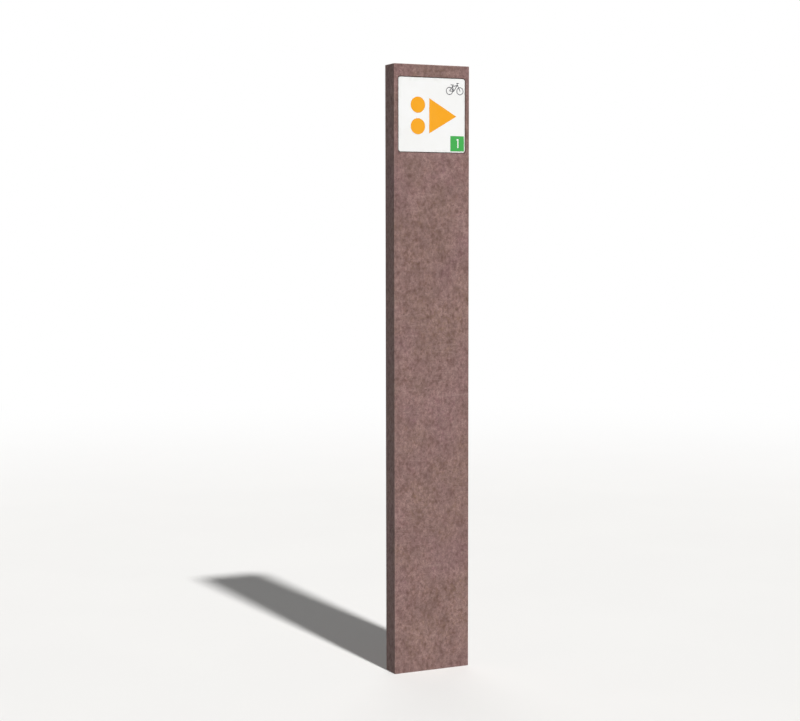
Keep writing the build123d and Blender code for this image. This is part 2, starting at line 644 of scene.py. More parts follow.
@dataclass(frozen=True)
class Fleck:
    """A colour that scattered specks bring to a surface."""

    colour: Colour
    share: float
    spacing: float
    radius: float
    chance: float
    seed: float

    def lay(self, surface: Surface, stretch: float) -> None:
        """Lay the specks on a surface.

        Args:
            surface: the material.
            stretch: how much longer than wide the specks are.
        """
        flow = surface.calc_vector("MULTIPLY", surface.place, (1.0, 1.0, 1 / stretch))
        pattern = {"Spacing": self.spacing, "Radius": self.radius, "Chance": self.chance, "Seed": self.seed}
        surface.lay(Layer(self.colour, self.share), Specks.use(surface, Place=flow, **pattern))


@dataclass(frozen=True, kw_only=True)
class Finish(ABC):
    """A finish, which becomes one material."""

    name: str
    body: Colour
    roughness: float
    gloss: float = 0.5

    def material(self) -> bpy.types.Material:
        """Make the material of this finish.

        Returns:
            The new material.
        """
        surface = Surface(self.name, self.body, self.roughness, self.gloss)
        self.dress(surface)
        return surface.finished()

    @abstractmethod
    def dress(self, surface: Surface) -> None:
        """Lay this finish's layers on a surface."""


@dataclass(frozen=True, kw_only=True)
class BoardFinish(Finish):
    """Board moulded from mixed recycled plastic, with flecks drawn out along it and a porous sawn core."""

    board: Block
    pocket: Block
    body: Colour = card(143, 110, 104)
    roughness: float = 0.52
    gloss: float = 0.2
    flow_stretch: float = 1.25
    tints: tuple[Tint, ...] = (
        Tint(card(150, 110, 118), 0.75, 0.085, 0.13, 1.0),
        Tint(card(138, 111, 89), 0.75, 0.070, 0.13, 2.0),
        Tint(card(94, 65, 59), 0.67, 0.0054, 0.18, 3.0),
        Tint(card(178, 144, 139), 0.60, 0.0047, 0.18, 4.0),
        Tint(card(60, 35, 30), 0.30, 0.0130, 0.18, 5.0),
        Tint(card(190, 160, 154), 0.26, 0.0090, 0.18, 6.0),
        Tint(card(60, 35, 30), 0.18, 0.045, 0.18, 8.0),
    )
    flecks: tuple[Fleck, ...] = (
        Fleck(card(78, 56, 53), 0.5, 0.0064, 0.0018, 0.5, 1.0),
        Fleck(card(175, 146, 139), 0.45, 0.0090, 0.0017, 0.4, 7.0),
        Fleck(card(62, 47, 45), 0.6, 0.0058, 0.0006, 0.45, 9.0),
    )
    grain: Layer = Layer(card(104, 80, 76), 0.50)
    powder: Layer = Layer(card(178, 151, 144), 0.16)
    skin_grain: Layer = Layer(height=0.00007)
    skin_lump: Layer = Layer(height=0.00010)
    dull_patch: Layer = Layer(roughness=0.14)
    sawn: Layer = Layer(card(149, 123, 118), 0.55, roughness=0.2)
    saw_mark: Layer = Layer(card(104, 80, 76), 0.12, height=0.00008)
    void: Layer = Layer(card(52, 40, 38), height=-0.0007)
    # painted shade: a dark tone over the routed pocket's walls and floor, the gap round the plate where shade
    # falls
    gap_shade: Layer = Layer(card(48, 40, 37), 0.45)
    pinhole: Layer = Layer(card(52, 40, 38), 0.7, height=-0.0003)
    scuff: Layer = Layer(card(178, 151, 144), 0.25, height=-0.00003)
    # lighter edges: partly real wear and partly a painted highlight along the board's edges
    worn_edge_and_highlight: Layer = Layer(card(178, 151, 144), 0.4, height=-0.00008)
    wear_width: float = 0.0014
    dust: Layer = Layer(card(165, 155, 146), 0.3)
    end_facing: float = 0.5
    pocket_margin: float = 0.0002
    skin_depth: float = 0.003
    core_depth: float = 0.008
    blade_centre: tuple[float, float, float] = (0.030, 0.155, 0.0)
    blade_wobble: float = 0.0015
    saw_mark_spacing: float = 0.0017

    def dress(self, surface: Surface) -> None:
        """Lay the moulded skin, then the sawn and routed faces over it, painted shade in the pocket's gap,
        then wear, partly a painted highlight on the edges, and dust.

        Args:
            surface: the material.
        """
        self.dress_skin(surface)
        routed = self.routed(surface)
        sawn = surface.calc("GREATER_THAN", surface.calc("ABSOLUTE", surface.facing_up()), self.end_facing)
        cut = surface.calc("MAXIMUM", sawn, routed)
        surface.lay(self.sawn, cut)
        surface.lay(self.saw_mark, surface.calc("MULTIPLY", self.saw_marks(surface), cut))
        surface.lay(self.void, surface.calc("MULTIPLY", self.voids(surface), cut))
        # painted shade in the pocket, the dark gap round the plate
        surface.lay(self.gap_shade, routed)
        pinholes = Specks.use(surface, Spacing=0.0075, Radius=0.00045, Chance=0.3, Seed=13.0)
        surface.lay(self.pinhole, pinholes)
        surface.lay(self.scuff, Hairlines.use(surface, Spacing=0.016))
        # worn edges, lighter partly as a painted highlight
        surface.lay(self.worn_edge_and_highlight, self.board.wear(surface, self.wear_width))
        surface.lay(self.dust, SettledDust.use(surface, Size=0.007))

    def dress_skin(self, surface: Surface) -> None:
        """Lay the moulded faces' tints from wide to fine, their flecks, grain and relief.

        Args:
            surface: the material.
        """
        for colour in (*self.tints, *self.flecks):
            colour.lay(surface, self.flow_stretch)
        grain = surface.noise(surface.place, size=0.0017, seed=6.0, detail=5.0)
        powder = surface.noise(surface.place, size=0.0008, seed=14.0, detail=4.0)
        surface.lay(self.grain, surface.ease(grain, start=0.35, end=0.65))
        surface.lay(self.powder, surface.ease(powder, start=0.46, end=0.66))
        surface.lay(self.skin_grain, surface.noise(surface.place, size=0.0009, seed=3.0, detail=4.0))
        surface.lay(self.skin_lump, Patches.use(surface, Size=0.009, Stretch=2.0, Seed=12.0))
        surface.lay(self.dull_patch, Patches.use(surface, Size=0.006, Stretch=self.flow_stretch, Seed=11.0))

    def routed(self, surface: Surface) -> Socket:
        """Tell the pocket's walls and floor, where painted shade darkens the gap round the plate, from the
        rest.

        Args:
            surface: the material.

        Returns:
            A mask that is 1 in the pocket.
        """
        margin = Vector((self.pocket_margin, self.pocket_margin, self.pocket_margin))
        offset = surface.calc_vector("SUBTRACT", surface.place, self.pocket.centre)
        offset = surface.calc_vector("ABSOLUTE", offset)
        x, y, z = surface.parts(surface.calc_vector("SUBTRACT", offset, self.pocket.half + margin))
        outside = surface.calc("MAXIMUM", surface.calc("MAXIMUM", x, y), z)
        return surface.calc("LESS_THAN", outside, 0.0)

    def voids(self, surface: Surface) -> Socket:
        """Scatter voids through the board's core, thicker towards its middle.

        Args:
            surface: the material.

        Returns:
            The mask of the voids.
        """
        offset = surface.calc_vector("SUBTRACT", surface.place, self.board.centre)
        offset = surface.calc_vector("ABSOLUTE", offset)
        x, y, _ = surface.parts(surface.calc_vector("SUBTRACT", self.board.half, offset))
        core = surface.ease(surface.calc("MINIMUM", x, y), self.skin_depth, self.core_depth)
        voids = Specks.use(surface, Spacing=0.0042, Radius=0.0011, Chance=0.45, Seed=3.0)
        return surface.calc("MULTIPLY", voids, core)

    def saw_marks(self, surface: Surface) -> Socket:
        """Draw the wavy arcs that a saw blade leaves across a cut.

        Args:
            surface: the material.

        Returns:
            A mask that is 1 on each arc.
        """
        radius = surface.radius(surface.calc_vector("SUBTRACT", surface.place, self.blade_centre))
        cloud = surface.noise(surface.place, size=0.012, seed=8.0)
        wobble = surface.calc("MULTIPLY", cloud, self.blade_wobble)
        return surface.waves(surface.calc("ADD", radius, wobble), self.saw_mark_spacing)


@dataclass(frozen=True, kw_only=True)
class SheetFinish(Finish):
    """White rigid sheet, satin, with faint stains, hairlines and a dulled rim."""

    sheet: Block
    body: Colour = card(248, 248, 247)
    roughness: float = 0.30
    gloss: float = 0.4
    stain: Layer = Layer(card(240, 239, 234), 0.35, roughness=0.08)
    smear: Layer = Layer(card(196, 192, 182), 0.16)
    smear_width: float = 0.007
    rim: Layer = Layer(card(196, 192, 182), 0.3)
    rim_width: float = 0.0006
    dust: Layer = Layer(card(196, 192, 182), 0.35)
    hairline: Layer = Layer(height=-0.000004, roughness=0.12)
    peel: Layer = Layer(height=0.000008)

    def dress(self, surface: Surface) -> None:
        """Lay stains, smears near the rim, dust and fine scratches.

        Args:
            surface: the material.
        """
        smears = Patches.use(surface, Size=0.006, Stretch=5.0, Softness=0.12, Seed=23.0)
        near_rim = self.sheet.wear(surface, self.smear_width)
        surface.lay(self.stain, Patches.use(surface, Size=0.035, Softness=0.2, Seed=21.0))
        surface.lay(self.smear, surface.calc("MULTIPLY", smears, near_rim))
        surface.lay(self.rim, self.sheet.wear(surface, self.rim_width))
        surface.lay(self.dust, SettledDust.use(surface, Size=0.004))
        surface.lay(self.hairline, Hairlines.use(surface, Spacing=0.007))
        surface.lay(self.peel, surface.noise(surface.place, size=0.0024, seed=22.0))


@dataclass(frozen=True, kw_only=True)
class FilmFinish(Finish):
    """Cut vinyl film, satin, with a slight peel, hairlines, sun-faded patches and dirt along its outline."""

    faded: Colour
    outline: Block | Wedge | None = None
    roughness: float = 0.34
    gloss: float = 0.25
    faded_share: float = 0.5
    faded_roughness: float = 0.10
    rim: Layer = Layer(card(120, 108, 84), 0.3)
    rim_width: float = 0.0004
    hairline: Layer = Layer(height=-0.000004, roughness=0.15)
    peel: Layer = Layer(height=0.000010)

    def dress(self, surface: Surface) -> None:
        """Lay the faded patches, the dirty outline and fine scratches.

        Args:
            surface: the material.
        """
        fade = Layer(self.faded, self.faded_share, roughness=self.faded_roughness)
        surface.lay(fade, Patches.use(surface, Size=0.016, Softness=0.22, Seed=31.0))
        if self.outline is not None:
            surface.lay(self.rim, self.outline.wear(surface, self.rim_width))
        surface.lay(self.hairline, Hairlines.use(surface, Spacing=0.005))
        surface.lay(self.peel, surface.noise(surface.place, size=0.0014, seed=32.0))


@dataclass(frozen=True, kw_only=True)
class FoamFinish(Finish):
    """Closed-cell foam tape, dark grey, with fine cells."""

    body: Colour = card(62, 62, 64)
    roughness: float = 0.78
    gloss: float = 0.3
    cloud: Layer = Layer(card(38, 38, 40), 0.3, height=0.00003)
    cell: Layer = Layer(card(38, 38, 40), height=-0.00008, roughness=0.14)

    def dress(self, surface: Surface) -> None:
        """Lay darker clouds, then the cells."""
        surface.lay(self.cloud, Patches.use(surface, Size=0.003, Seed=42.0))
        surface.lay(self.cell, Specks.use(surface, Spacing=0.00045, Radius=0.00020, Chance=0.8, Seed=41.0))


@dataclass(frozen=True, kw_only=True)
class AdhesiveFinish(Finish):
    """Cured elastic adhesive, off-white, smooth where it was squeezed, with trapped bubbles."""

    body: Colour = card(203, 202, 196)
    roughness: float = 0.35
    yellowed: Layer = Layer(card(190, 184, 166), 0.6, height=0.00005, roughness=0.15)
    bubble: Layer = Layer(card(190, 184, 166), 0.4, height=-0.0001, way=Blend.DARKEN)

    def dress(self, surface: Surface) -> None:
        """Lay the yellowed clouds, then the bubbles."""
        surface.lay(self.yellowed, Patches.use(surface, Size=0.008, Seed=51.0))
        surface.lay(self.bubble, Specks.use(surface, Spacing=0.0035, Radius=0.0004, Chance=0.35, Seed=52.0))


@dataclass(frozen=True, kw_only=True)
class BrassFinish(Finish):
    """Turned brass, with rings from the tool and a thin tarnish."""

    body: Colour = card(214, 178, 108)
    roughness: float = 0.24
    tarnish: Layer = Layer(card(150, 118, 70), 0.6, height=0.000004, roughness=0.18)
    bare_metallic: float = 1.0
    tarnished_metallic: float = 0.92
    hairline: Layer = Layer(roughness=0.1)
    tool_ring: Layer = Layer(height=0.000003)
    ring_spacing: float = 0.00022

    def dress(self, surface: Surface) -> None:
        """Lay the tarnish, fine scratches and the tool's rings, which run on over faces and sides.

        Args:
            surface: the material.
        """
        tarnish = Patches.use(surface, Size=0.0035, Softness=0.2, Seed=61.0)
        metallic = surface.between(tarnish, self.bare_metallic, self.tarnished_metallic)
        surface.feed(surface.shader.inputs["Metallic"], metallic)
        surface.lay(self.tarnish, tarnish)
        surface.lay(self.hairline, Hairlines.use(surface, Spacing=0.0015))
        height = surface.parts(surface.place)[2]
        travel = surface.calc("ADD", surface.radius(surface.place), height)
        surface.lay(self.tool_ring, surface.waves(travel, self.ring_spacing))


def piece(
    name: str,
    mesh: bmesh.types.BMesh,
    finish: bpy.types.Material,
    smooth_deg: float = 35.0,
) -> bpy.types.Object:
    """Make an object of a mesh.

    Args:
        name: the piece's name.
        mesh: its faces, which this function frees.
        finish: its material.
        smooth_deg: faces that meet at less than this angle are shaded as one curve.

    Returns:
        The new object.
    """
    bmesh.ops.recalc_face_normals(mesh, faces=mesh.faces)
    data = bpy.data.meshes.new(name)
    mesh.to_mesh(data)
    mesh.free()
    data.shade_smooth()
    data.set_sharp_from_angle(angle=math.radians(smooth_deg))
    data.materials.append(finish)
    made = bpy.data.objects.new(name, data)
    bpy.context.scene.collection.objects.link(made)
    return made


def lofted(loops: Sequence[Sequence[Vector]]) -> bmesh.types.BMesh:
    """Skin a row of closed loops that have the same number of points, and close both its ends.

    Args:
        loops: the loops, each a list of points in order.

    Returns:
        The skin.
    """
    mesh = bmesh.new()
    rows = [[mesh.verts.new(point) for point in loop] for loop in loops]
    for row, following in zip(rows, rows[1:]):
        for index in range(len(row)):
            after = (index + 1) % len(row)
            mesh.faces.new((row[index], row[after], following[after], following[index]))
    mesh.faces.new(rows[0])
    mesh.faces.new(rows[-1])
    return mesh


def stand_in(made: bpy.types.Object, node: str) -> None:
    """Let a piece ride on the marker in the place of a solid.

    Args:
        made: the piece.
        node: the solid that it stands for.
    """
    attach(made, BODY)
    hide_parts(node)
    log.info("%s: %d faces, stands for %s", made.name, len(made.data.polygons), node)


def dress_node(node: str, finish: bpy.types.Material) -> None:
    """Give a node of the solid model its finish.

    Args:
        node: the node's name.
        finish: its material.
    """
    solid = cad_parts[node]
    if not solid.material_slots:
        solid.data.materials.append(finish)
    for material_slot in solid.material_slots:
        material_slot.material = finish
    log.info("%s: dressed with %s", node, finish.name)


@dataclass
class Post:
    """The board, with its sawn ends and the sign's pocket."""

    pocket_gap: float = 0.001

    def build(self) -> None:
        """Dress the board."""
        board = Block.of("post_board")
        finish = BoardFinish(name=Slot.BOARD.value, board=board, pocket=self.pocket(board))
        dress_node("post_board", finish.material())

    def pocket(self, board: Block) -> Block:
        """Work out the pocket, which goes from the board's front to the back of the bond.

        Args:
            board: the board's box.

        Returns:
            The pocket's box.
        """
        plate = Block.of("sign_plate")
        bond = Block.of("foam_tape_left")
        gap = Vector((self.pocket_gap, 0.0, self.pocket_gap))
        front = Vector((plate.low.x, board.low.y, plate.low.z))
        back = Vector((plate.high.x, bond.high.y, plate.high.z))
        return Block(front - gap, back + gap)


@dataclass
class CyclePictogram:
    """Small printed outline of a bicycle, a plain public sign for a cycle trail, as one flat sheet."""

    centre_from_right: float = 0.0185
    centre_from_top: float = 0.0165
    thickness: float = 0.00005
    line_width: float = 0.0013
    wheel_radius: float = 0.0064
    wheel_base: float = 0.0192
    crank_forward: float = 0.0074
    crank_drop: float = 0.0007
    seat_height: float = 0.0099
    seat_back: float = 0.0024
    saddle_length: float = 0.0048
    head_height: float = 0.0092
    head_forward: float = 0.0141
    bar_rise: float = 0.0034
    bar_reach: float = 0.0034
    bar_back_share: float = 0.25
    stay_height_share: float = 0.75
    arc_steps: int = 40
    cap_steps: int = 8
    merge_distance: float = 1e-7
    flat_angle: float = 0.001
    all_triangles: ClassVar[int] = 0

    def build(self, plate: Block, finish: bpy.types.Material) -> None:
        """Make the pictogram on the plate's face.

        Args:
            plate: the plate's box.
            finish: the print's material.
        """
        made = piece("cycle_pictogram", self.mesh(plate), finish)
        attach(made, BODY)
        log.info("%s: %d faces", made.name, len(made.data.polygons))

    def mesh(self, plate: Block) -> bmesh.types.BMesh:
        """Merge the outlines into one flat sheet.

        Args:
            plate: the plate's box.

        Returns:
            The sheet, with its back on the plate's face.
        """
        corners = []
        shapes = []
        for line in self.lines():
            shapes.append(list(range(len(corners), len(corners) + len(line))))
            corners += [Vector(corner) for corner in line]
        merged = delaunay_2d_cdt(corners, [], shapes, self.all_triangles, self.merge_distance)
        points, _, faces, _, _, sources = merged
        mesh = bmesh.new()
        top = self.head_height + self.bar_rise + self.line_width / 2
        half = Vector((self.wheel_base / 2, (top - self.wheel_radius) / 2))
        middle = Vector((plate.high.x - self.centre_from_right, plate.high.z - self.centre_from_top))
        verts = []
        for point in points:
            x = middle.x + point.x - half.x
            z = middle.y + point.y - half.y
            verts.append(mesh.verts.new((x, plate.low.y, z)))
        for face, source in zip(faces, sources):
            if source:
                mesh.faces.new([verts[index] for index in face])
        bmesh.ops.delete(mesh, geom=[vert for vert in mesh.verts if not vert.link_faces], context="VERTS")
        bmesh.ops.dissolve_limit(mesh, angle_limit=self.flat_angle, verts=mesh.verts, edges=mesh.edges)
        raised = bmesh.ops.extrude_face_region(mesh, geom=mesh.faces[:])["geom"]
        lifted = [item for item in raised if isinstance(item, bmesh.types.BMVert)]
        bmesh.ops.translate(mesh, verts=lifted, vec=(0.0, -self.thickness, 0.0))
        return mesh

    def lines(self) -> list[list[Point]]:
        """Draw the wheels, frame, saddle and handlebar, with the rear hub at the origin.

        Returns:
            The closed outline of each.
        """
        rear = (0.0, 0.0)
        front = (self.wheel_base, 0.0)
        crank = (self.crank_forward, -self.crank_drop)
        seat = (crank[0] - self.seat_back, self.seat_height)
        stay = (seat[0] + self.seat_back * (1 - self.stay_height_share), seat[1] * self.stay_height_share)
        head = (self.head_forward, self.head_height)
        grip = (head[0] - self.bar_reach * self.bar_back_share, head[1] + self.bar_rise)
        half_saddle = self.saddle_length / 2
        tubes = (
            (rear, crank),
            (crank, seat),
            (rear, stay),
            (crank, head),
            (stay, head),
            (front, grip),
            (grip, (grip[0] + self.bar_reach, grip[1])),
            ((seat[0] - half_saddle, seat[1]), (seat[0] + half_saddle, seat[1])),
        )
        drawn = [self.tube(*tube) for tube in tubes]
        for hub in (rear, front):
            drawn += self.wheel(hub)
        return drawn

    def tube(self, start: Point, end: Point) -> list[Point]:
        """Draw a straight line with round ends.

        Args:
            start: the middle of its first end.
            end: the middle of its other end.

        Returns:
            Its outline.
        """
        heading = math.atan2(end[1] - start[1], end[0] - start[0])
        outline = []
        for middle, turn in ((end, heading - math.pi / 2), (start, heading + math.pi / 2)):
            for step in range(self.cap_steps + 1):
                angle = turn + math.pi * step / self.cap_steps
                outline.append(on_circle(middle, self.line_width / 2, angle))
        return outline

    def wheel(self, hub: Point) -> list[list[Point]]:
        """Draw a ring as a row of short pieces.

        Args:
            hub: its middle.

        Returns:
            The outline of each piece.
        """
        inner_radius = self.wheel_radius - self.line_width
        pieces = []
        for step in range(self.arc_steps):
            angles = (math.tau * step / self.arc_steps, math.tau * (step + 1) / self.arc_steps)
            inner = [on_circle(hub, inner_radius, angle) for angle in reversed(angles)]
            pieces.append([on_circle(hub, self.wheel_radius, angle) for angle in angles] + inner)
        return pieces


@dataclass
class Sign:
    """The white plate with its films and the small print in its upper right corner."""

    plate_corner_radius: float = 0.004
    tile_corner_radius: float = 0.0008
    orange: Colour = card(248, 168, 30)
    orange_faded: Colour = card(247, 172, 48)
    green: Colour = card(66, 171, 79)
    green_faded: Colour = card(76, 174, 88)
    ink: Colour = card(92, 92, 96)
    ink_faded: Colour = card(108, 107, 110)

    def build(self) -> None:
        """Dress the plate and its films, and print the pictogram."""
        plate = Block.of("sign_plate", self.plate_corner_radius)
        dress_node("sign_plate", SheetFinish(name=Slot.PLATE.value, sheet=plate).material())
        marks = {
            "disc_upper": self.disc("disc_upper"),
            "disc_lower": self.disc("disc_lower"),
            "arrow": self.wedge("arrow"),
        }
        for node, outline in marks.items():
            name = f"{Slot.ORANGE.value}_{node}"
            film = FilmFinish(name=name, body=self.orange, faded=self.orange_faded, outline=outline)
            dress_node(node, film.material())
        tile = Block.of("number_tile", self.tile_corner_radius)
        film = FilmFinish(name=Slot.GREEN.value, body=self.green, faded=self.green_faded, outline=tile)
        dress_node("number_tile", film.material())
        ink = FilmFinish(name="print_grey", body=self.ink, faded=self.ink_faded)
        CyclePictogram().build(plate, ink.material())

    @staticmethod
    def wedge(node: str) -> Wedge:
        """Return the outline of an arrow that fills its box and points to the right."""
        low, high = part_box(node)
        return Wedge(((low.x, high.z), (high.x, (low.z + high.z) / 2), (low.x, low.z)))

    @staticmethod
    def disc(node: str) -> Block:
        """Return a disc's box, with corners so round that it is a circle."""
        low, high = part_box(node)
        return Block(low, high, (high.x - low.x) / 2)


@dataclass(frozen=True)
class Strip:
    """An upright strip with round sides, whose width ripples along it.

    Its sides stand out in a round by the bulge, and the ripple is how much narrower it is at its narrowest.
    """

    bulge: float
    ripple: float
    ripple_lengths: tuple[float, ...]
    round_ends: bool
    ripple_shifts: int = 3
    blunt_share: float = 0.25
    face_clearance: float = 0.00001
    stations: int = 72
    arc_steps: int = 7
    smooth_deg: float = 50.0

    def build(
        self,
        name: str,
        node: str,
        number: int,
        slot: Slot,
        finish: bpy.types.Material,
    ) -> bpy.types.Object:
        """Make the strip and let it stand for its solid.

        Args:
            name: the piece's name.
            node: the solid that it stands for.
            number: shifts the ripples, so that strips differ.
            slot: its material slot; not used.
            finish: its material.

        Returns:
            The piece.
        """
        made = piece(name, lofted(self.loops(node, number)), finish, self.smooth_deg)
        stand_in(made, node)
        return made

    def loops(self, node: str, number: int) -> list[list[Vector]]:
        """Work out the cross-sections, which lie closest together near the ends.

        Args:
            node: the solid whose box the strip fills.
            number: shifts the ripples, so that strips differ.

        Returns:
            The cross-sections from the bottom up.
        """
        block = Block.of(node)
        low = block.low.z
        high = block.high.z
        shift = number / self.ripple_shifts
        loops = []
        for station in range(self.stations + 1):
            share = (1 - math.cos(math.pi * station / self.stations)) / 2
            z = low + (high - low) * share
            waves = [math.sin(math.tau * (z / length + shift)) for length in self.ripple_lengths]
            full = block.half.x - self.ripple * (1 + sum(waves) / len(waves)) / 2
            half_width = full * self.end_share(min(z - low, high - z), block.half.x)
            loops.append(self.section(block, z, half_width))
        return loops

    def section(self, block: Block, z: float, half_width: float) -> list[Vector]:
        """Draw a flat cross-section with round sides.

        Args:
            block: the box that the strip fills.
            z: the section's height.
            half_width: half its width.

        Returns:
            Its outline.
        """
        centre = block.centre
        half_depth = block.half.y - self.face_clearance
        bulge = min(self.bulge, half_width / 2)
        points = []
        for side in (1, -1):
            for step in range(self.arc_steps + 1):
                angle = math.pi * (step / self.arc_steps - 1 / 2)
                x = half_width - bulge + bulge * math.cos(angle)
                y = half_depth * math.sin(angle)
                points.append(Vector((centre.x + side * x, centre.y + side * y, z)))
        return points

    def end_share(self, distance: float, half_width: float) -> float:
        """Work out how much of its width the strip has near an end, where a round one stays a little blunt.

        Args:
            distance: how far the nearer end is.
            half_width: half the strip's full width.

        Returns:
            The share of the full width.
        """
        if not self.round_ends or distance >= half_width:
            return 1.0
        return max(self.blunt_share, math.sqrt(1 - (1 - distance / half_width) ** 2))


@dataclass
class Bond:
    """The foam tapes and the squeezed beads of adhesive that hold the plate to the pocket's floor."""

    tape: Strip = Strip(bulge=0.00030, ripple=0.00012, ripple_lengths=(0.019, 0.043), round_ends=False)
    bead: Strip = Strip(bulge=0.00045, ripple=0.00065, ripple_lengths=(0.0112, 0.0267), round_ends=True)

    def build(self) -> None:
        """Make the tapes and the beads in the places of their solids."""
        foam = FoamFinish(name=Slot.TAPE.value).material()
        for number, side in enumerate(Side):
            node = f"foam_tape_{side.value}"
            made = self.tape.build(f"{node}_compressed", node, number, Slot.TAPE, foam)
        cured = AdhesiveFinish(name=Slot.ADHESIVE.value).material()
        for number, place in enumerate(BeadPlace):
            node = f"adhesive_bead_{place.value}"
            self.bead.build(f"{node}_squeezed", node, number, Slot.ADHESIVE, cured)


@dataclass
class FootInserts:
    """The brass inserts in the foot, with their thread and slanted knurls cut."""

    thread_pitch: float = 0.0015
    thread_core_radius: float = 0.00425
    thread_root_radius: float = 0.0050
    crest_share: float = 0.25
    root_share: float = 0.125
    mouth_depth: float = 0.0008
    flange_thickness: float = 0.0015
    edge_break: float = 0.00015
    barrel_radius: float = 0.0070
    knurl_count: int = 24
    knurl_depth: float = 0.0005
    waist_depth: float = 0.0002
    waist_length: float = 0.0065
    lead_length: float = 0.0010
    knurl_slant_deg: float = 28.0
    band_steps: int = 6
    rows_per_turn: int = 8
    merge_distance: float = 1e-7
    smooth_deg: float = 30.0

    @property
    def columns(self) -> int:
        """Points round the insert, one on each tooth and one in each groove."""
        return 2 * self.knurl_count

    def build(self) -> None:
        """Make both inserts."""
        brass = BrassFinish(name=Slot.BRASS.value).material()
        for side in Side:
            node = f"threaded_insert_{side.value}"
            block = Block.of(node)
            made = piece(f"{node}_turned", self.mesh(block), brass, self.smooth_deg)
            made.location = (block.centre.x, block.centre.y, block.low.z)
            stand_in(made, node)

    def mesh(self, block: Block) -> bmesh.types.BMesh:
        """Skin one insert, with its foot end at z = 0 on the axis.

        Args:
            block: its solid's box.

        Returns:
            The skin.
        """
        height = block.high.z - block.low.z
        loops = self.outside(block.half.x, height) + self.bore(height)[::-1]
        mesh = bmesh.new()
        rows = [[mesh.verts.new(point) for point in loop] for loop in loops]
        for row, following in zip(rows, rows[1:] + rows[:1]):
            for index in range(self.columns):
                mesh.faces.new((row[index], row[index + 1], following[index + 1], following[index]))
        bmesh.ops.remove_doubles(mesh, verts=mesh.verts, dist=self.merge_distance)
        bmesh.ops.dissolve_degenerate(mesh, edges=mesh.edges, dist=self.merge_distance)
        return mesh

    def outside(self, flange_radius: float, height: float) -> list[list[Vector]]:
        """Draw the outside's rings: flange, two bands of teeth that slant opposite ways, and lead-in.

        Args:
            flange_radius: the flange's radius.
            height: the insert's height.

        Returns:
            The rings from the foot end up, each with a point more than its columns.
        """
        lead_start = height - self.lead_length
        band_length = (lead_start - self.flange_thickness - self.waist_length) / 2
        valley = self.barrel_radius - self.knurl_depth
        waist = valley - self.waist_depth
        shift = band_length * math.tan(math.radians(self.knurl_slant_deg)) / self.barrel_radius
        rings = [
            self.ring(flange_radius - self.edge_break, 0.0),
            self.ring(flange_radius, self.edge_break),
            self.ring(flange_radius, self.flange_thickness - self.edge_break),
            self.ring(flange_radius - self.edge_break, self.flange_thickness),
            self.ring(waist, self.flange_thickness),
        ]
        for start, sense in ((self.flange_thickness, 1), (lead_start - band_length, -1)):
            rings.append(self.ring(waist, start))
            for step in range(self.band_steps + 1):
                share = step / self.band_steps
                lean = shift * (share if sense > 0 else 1 - share)
                rings.append(self.ring(self.barrel_radius, start + band_length * share, valley, lean))
            rings.append(self.ring(waist, start + band_length, turn=shift if sense > 0 else 0.0))
        rings.append(self.ring(valley, lead_start))
        rings.append(self.ring(valley - self.lead_length, height))
        return rings

    def ring(self, radius: float, z: float, valley: float | None = None, turn: float = 0.0) -> list[Vector]:
        """Draw a ring of teeth and grooves.

        Args:
            radius: the radius at the teeth.
            z: the ring's height.
            valley: the radius in the grooves, or None for a round ring.
            turn: how far the ring is turned, in radians.

        Returns:
            Its points, the first one repeated at the end.
        """
        points = []
        for column in range(self.columns + 1):
            angle = math.tau * column / self.columns + turn
            reach = radius if valley is None or column % 2 == 0 else valley
            points.append(Vector((*on_circle((0.0, 0.0), reach, angle), z)))
        return points

    def bore(self, height: float) -> list[list[Vector]]:
        """Draw the rows of the threaded bore, which climb with the thread.

        Args:
            height: the insert's height.

        Returns:
            The rows from the foot end up.
        """
        step = self.thread_pitch / self.rows_per_turn
        rows = []
        for row in range(-self.rows_per_turn, math.ceil(height / step) + 1):
            points = []
            for column in range(self.columns + 1):
                share = column / self.columns
                z = min(max(step * row + self.thread_pitch * share, 0.0), height)
                radius = self.bore_radius(z, share, height)
                points.append(Vector((*on_circle((0.0, 0.0), radius, math.tau * share), z)))
            rows.append(points)
        return rows

    def bore_radius(self, z: float, turn_share: float, height: float) -> float:
        """Work out the bore's radius in one place: that of the thread, or of the countersink at either mouth.

        Args:
            z: the height of the place.
            turn_share: its share of a turn round the axis.
            height: the insert's height.

        Returns:
            The radius.
        """
        phase = (z / self.thread_pitch - turn_share) % 1.0
        flank = 1 - abs(2 * phase - 1)
        rise = (flank - self.crest_share) / (1 - self.crest_share - self.root_share)
        depth = self.thread_root_radius - self.thread_core_radius
        thread = self.thread_core_radius + depth * min(max(rise, 0.0), 1.0)
        mouth = self.thread_core_radius + self.mouth_depth
        return max(thread, mouth - z, mouth - self.mouth_depth / 2 - (height - z))


